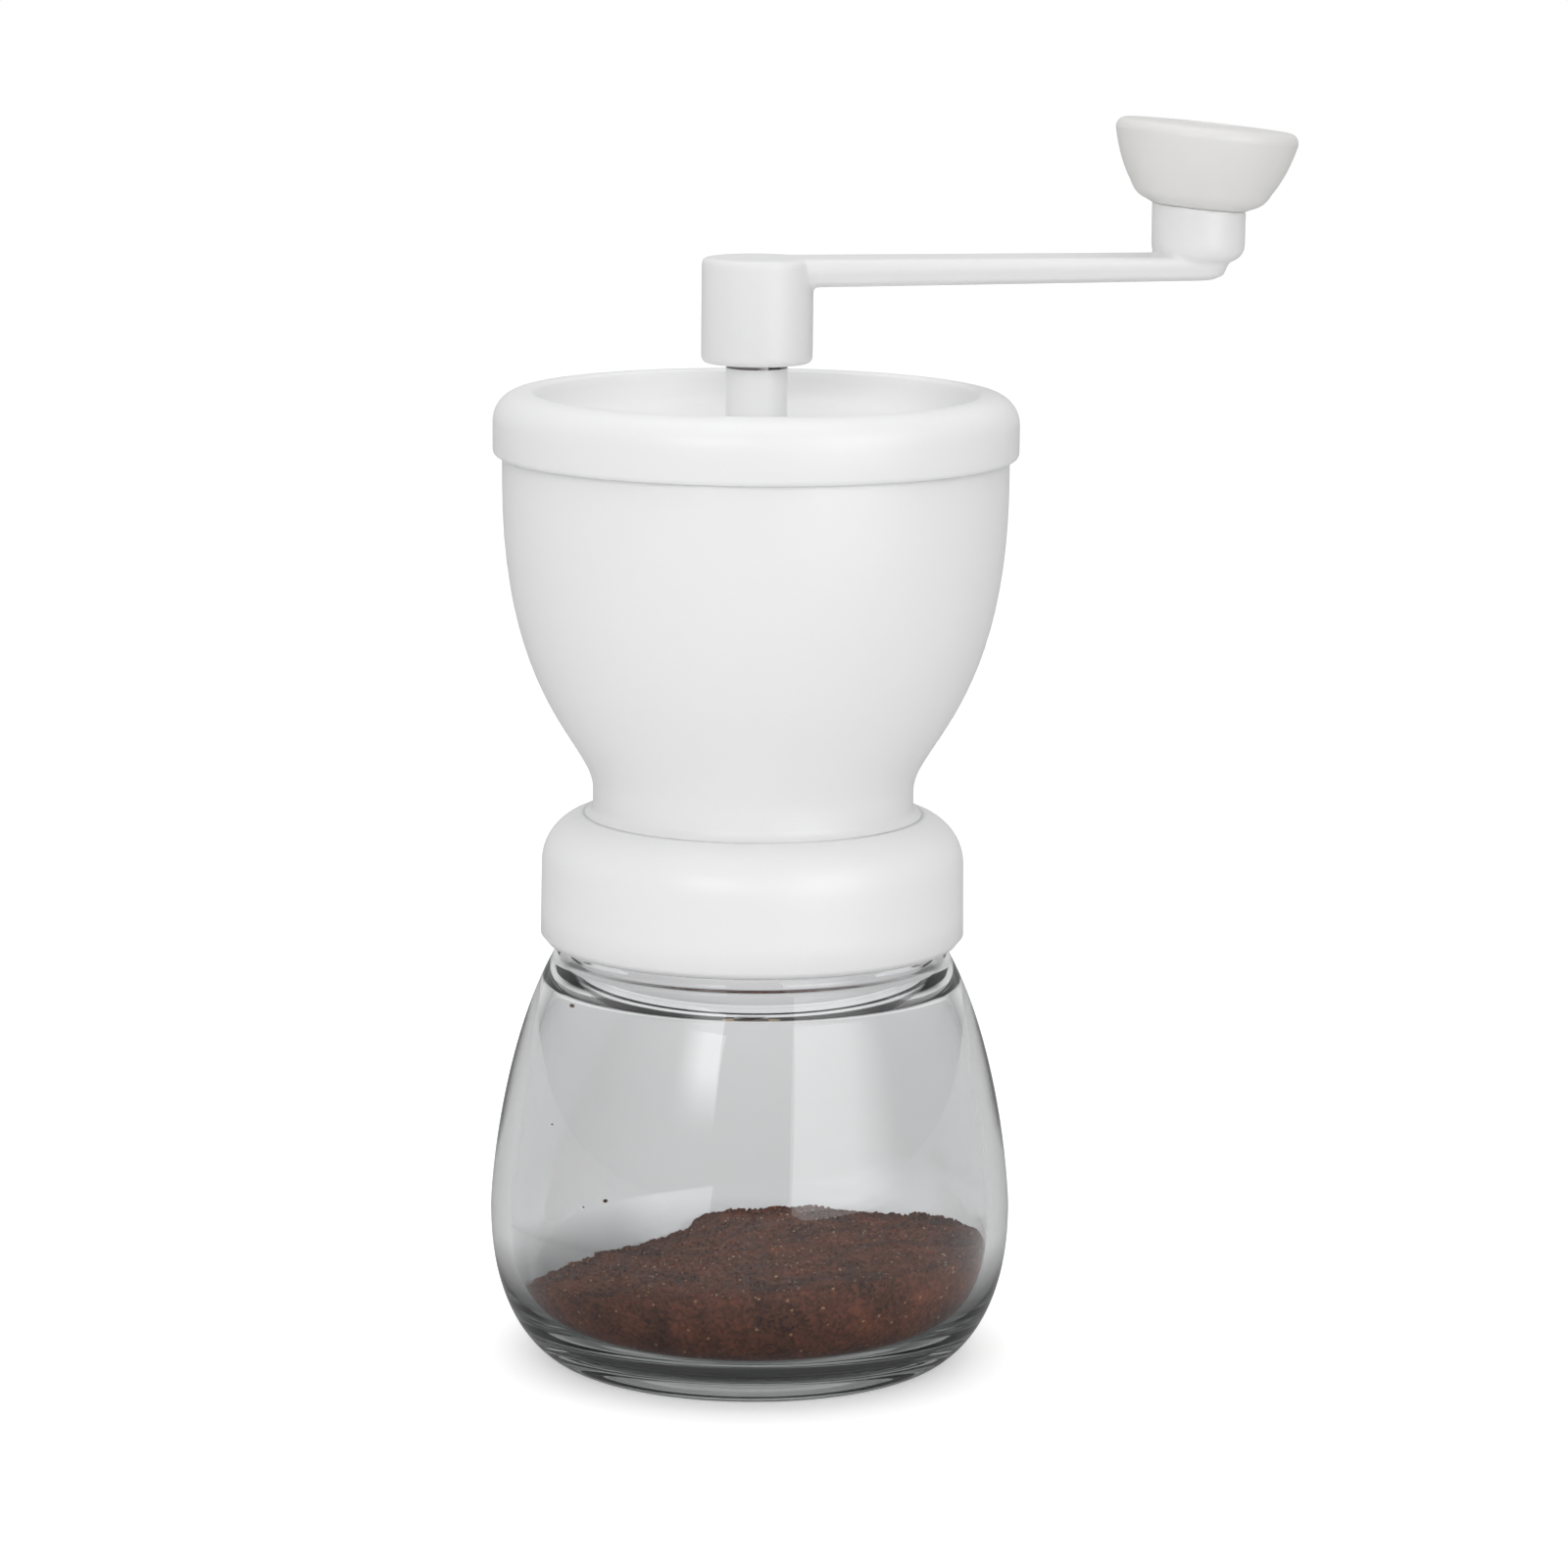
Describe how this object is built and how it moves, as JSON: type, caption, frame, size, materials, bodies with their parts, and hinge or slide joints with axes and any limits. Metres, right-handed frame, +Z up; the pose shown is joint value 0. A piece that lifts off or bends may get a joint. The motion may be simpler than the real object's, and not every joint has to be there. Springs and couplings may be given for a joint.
{
  "type": "coffee grinder",
  "caption": "Hand coffee grinder: round glass jar with grounds, white hourglass hopper with a conical burr set, dished lid and a removable crank with a leaning knob.",
  "frame": {"origin": "on the grinder's axis, in the plane of the ring that the jar stands on", "axes": "+Z up along the grinding shaft, +X from the shaft to the crank's knob"},
  "size_m": [0.1379, 0.0896, 0.2133],
  "materials": {
    "smoky_glass": "clear, lightly smoked",
    "coffee": "loose coffee grounds",
    "seal_rubber": "matt silicone",
    "white_plastic": "semi-gloss moulded",
    "knob_plastic": "semi-gloss moulded",
    "black_plastic": "matt moulded",
    "burr_ceramic": "sintered, matt",
    "bearing_brass": "turned",
    "shaft_steel": "ground",
    "screw_steel": "zinc plated",
    "dark_steel": "blackened"
  },
  "bodies": {
    "jar": {"glass_jar": "smoky_glass", "coffee_grounds": "coffee"},
    "seal": {"jar_gasket": "seal_rubber"},
    "housing": {"hopper_body": "white_plastic", "outer_burr": "burr_ceramic", "burr_retainer": "black_plastic", "retainer_screws": "screw_steel", "shaft_carrier": "white_plastic", "carrier_screws": "screw_steel", "lower_bush": "bearing_brass", "upper_bush": "bearing_brass"},
    "shaft": {"drive_shaft": "shaft_steel", "thrust_washer": "shaft_steel", "shaft_sleeve": "white_plastic", "shaft_clip": "dark_steel", "burr_spring": "shaft_steel"},
    "cone": {"inner_burr": "burr_ceramic", "burr_driver": "black_plastic", "spring_seat": "shaft_steel"},
    "nut": {"adjusting_nut": "black_plastic", "nut_insert": "bearing_brass"},
    "lid": {"lid": "white_plastic"},
    "crank": {"crank_arm": "white_plastic", "knob_spindle": "shaft_steel", "knob_washer": "screw_steel", "knob_screw": "screw_steel"},
    "knob": {"knob": "knob_plastic", "knob_cap": "knob_plastic"}
  },
  "joints": [
    {"name": "seal_slide", "type": "slide", "parent": "jar", "child": "seal", "axis": [0, 0, 1], "range_m": [0, 0.0065]},
    {"name": "unscrew", "type": "hinge", "parent": "seal", "child": "housing", "pos_m": [0, 0, 0.08], "axis": [0, 0, 1], "range_deg": [0, 540]},
    {"name": "crank_turn", "type": "hinge", "parent": "housing", "child": "shaft", "pos_m": [0, 0, 0.105], "axis": [0, 0, 1], "continuous": true},
    {"name": "burr_slide", "type": "slide", "parent": "shaft", "child": "cone", "axis": [0, 0, 1], "range_m": [0, 0.0022], "deforming": ["burr_spring"]},
    {"name": "nut_turn", "type": "hinge", "parent": "cone", "child": "nut", "pos_m": [0, 0, 0.072], "axis": [0, 0, 1], "range_deg": [0, 800]},
    {"name": "crank_lift", "type": "slide", "parent": "shaft", "child": "crank", "axis": [0, 0, 1], "range_m": [0, 0.04]},
    {"name": "lid_lift", "type": "slide", "parent": "housing", "child": "lid", "axis": [0, 0, 1], "range_m": [0, 0.02]},
    {"name": "knob_spin", "type": "hinge", "parent": "crank", "child": "knob", "pos_m": [0.0764, 0, 0.1981], "axis": [0.0958, 0, 0.9954], "continuous": true}
  ],
  "couplings": [
    {"joint": "seal_slide", "follows": "unscrew", "m_per_rad": 0.00066845},
    {"joint": "nut_turn", "follows": "burr_slide", "rad_per_m": 6283.2},
    {"joint": "lid_lift", "follows": "crank_lift", "ratio": 0.5}
  ]
}
